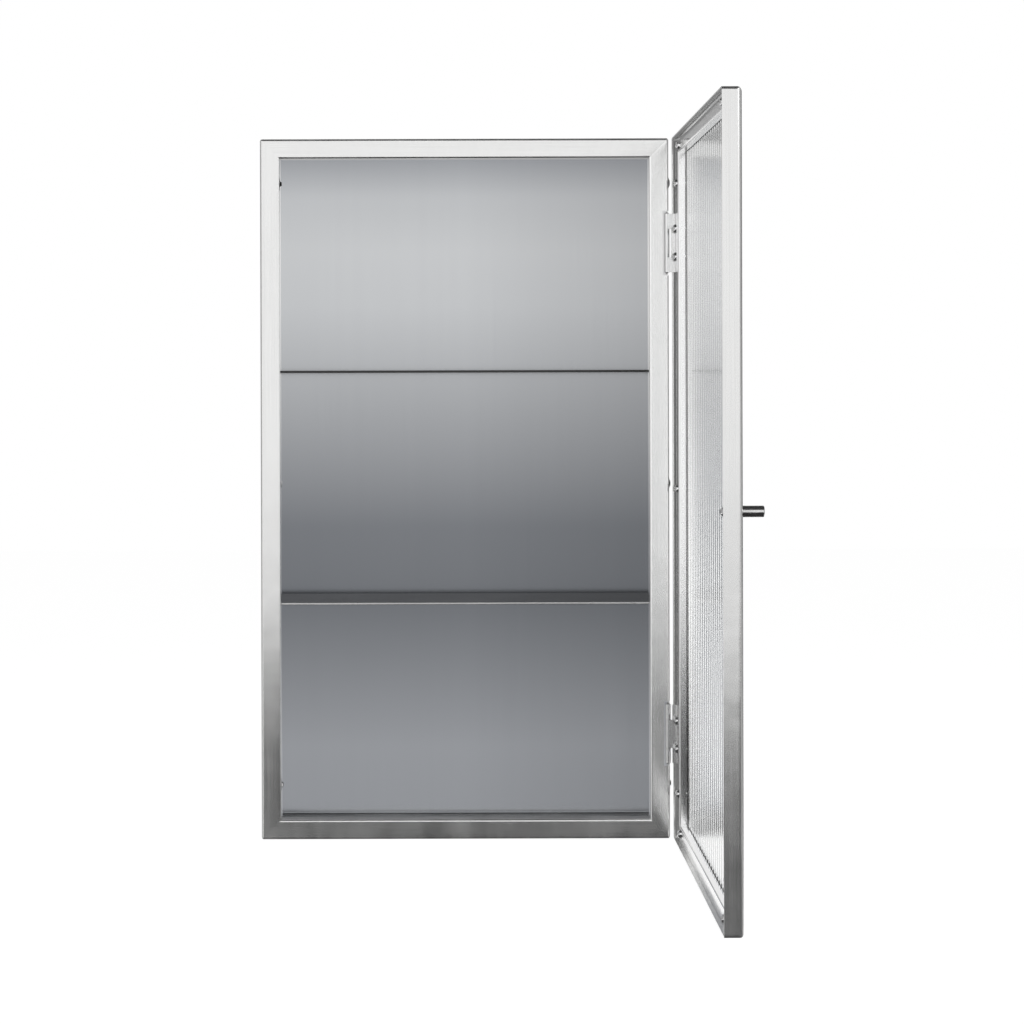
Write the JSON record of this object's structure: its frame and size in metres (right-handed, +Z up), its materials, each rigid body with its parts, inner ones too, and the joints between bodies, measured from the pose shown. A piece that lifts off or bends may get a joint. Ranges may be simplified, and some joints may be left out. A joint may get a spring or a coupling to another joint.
{
  "type": "wall cabinet",
  "caption": "Wall cabinet of folded satin steel with a side-hung door of reeded glass, shelves inside, a magnetic catch and a plain round knob.",
  "frame": {"origin": "midway between the entry holes of the two wall keyholes, on the wall's plane", "axes": "+X to the right as seen from the front, +Y to the back towards the wall, +Z up"},
  "size_m": [0.383, 0.4733, 0.6],
  "materials": {
    "case_steel": "satin",
    "back_steel": "satin, fine marks",
    "shelf_steel": "brushed along its length",
    "door_steel": "satin",
    "hinge_steel": "satin",
    "screw_steel": "bright",
    "knob_steel": "bright",
    "magnet_case": "matt",
    "reeded_glass": "clear, reeded on the inner face"
  },
  "bodies": {
    "case": {"right_side_panel": "case_steel", "left_side_panel": "case_steel", "top_panel": "case_steel", "bottom_panel": "case_steel", "back_panel": "back_steel", "hanger_rail": "back_steel", "spacer_rail": "back_steel", "upper_shelf": "shelf_steel", "lower_shelf": "shelf_steel", "left_shelf_brackets": "case_steel", "right_shelf_brackets": "case_steel", "hinge_bar": "hinge_steel", "hinge_bar_screws": "screw_steel", "catch_magnets": "magnet_case", "magnet_screws": "screw_steel", "upper_hinge_pin": "hinge_steel", "lower_hinge_pin": "hinge_steel"},
    "door": {"door_hinge_stile": "door_steel", "door_free_stile": "door_steel", "door_top_rail": "door_steel", "door_bottom_rail": "door_steel", "hinge_side_strip": "door_steel", "free_side_strip": "door_steel", "top_strip": "door_steel", "bottom_strip": "door_steel", "reeded_glass": "reeded_glass", "strip_screws": "screw_steel", "strip_standoffs": "screw_steel", "upper_hinge_leaf": "hinge_steel", "lower_hinge_leaf": "hinge_steel", "hinge_leaf_screws": "screw_steel", "door_knob": "knob_steel", "knob_screw": "screw_steel", "knob_spacer": "screw_steel"}
  },
  "joints": [
    {"name": "door_hinge", "type": "hinge", "parent": "case", "child": "door", "pos_m": [0.1733, -0.125, -0.26], "axis": [0, 0, 1], "range_deg": [-90, 25]}
  ]
}
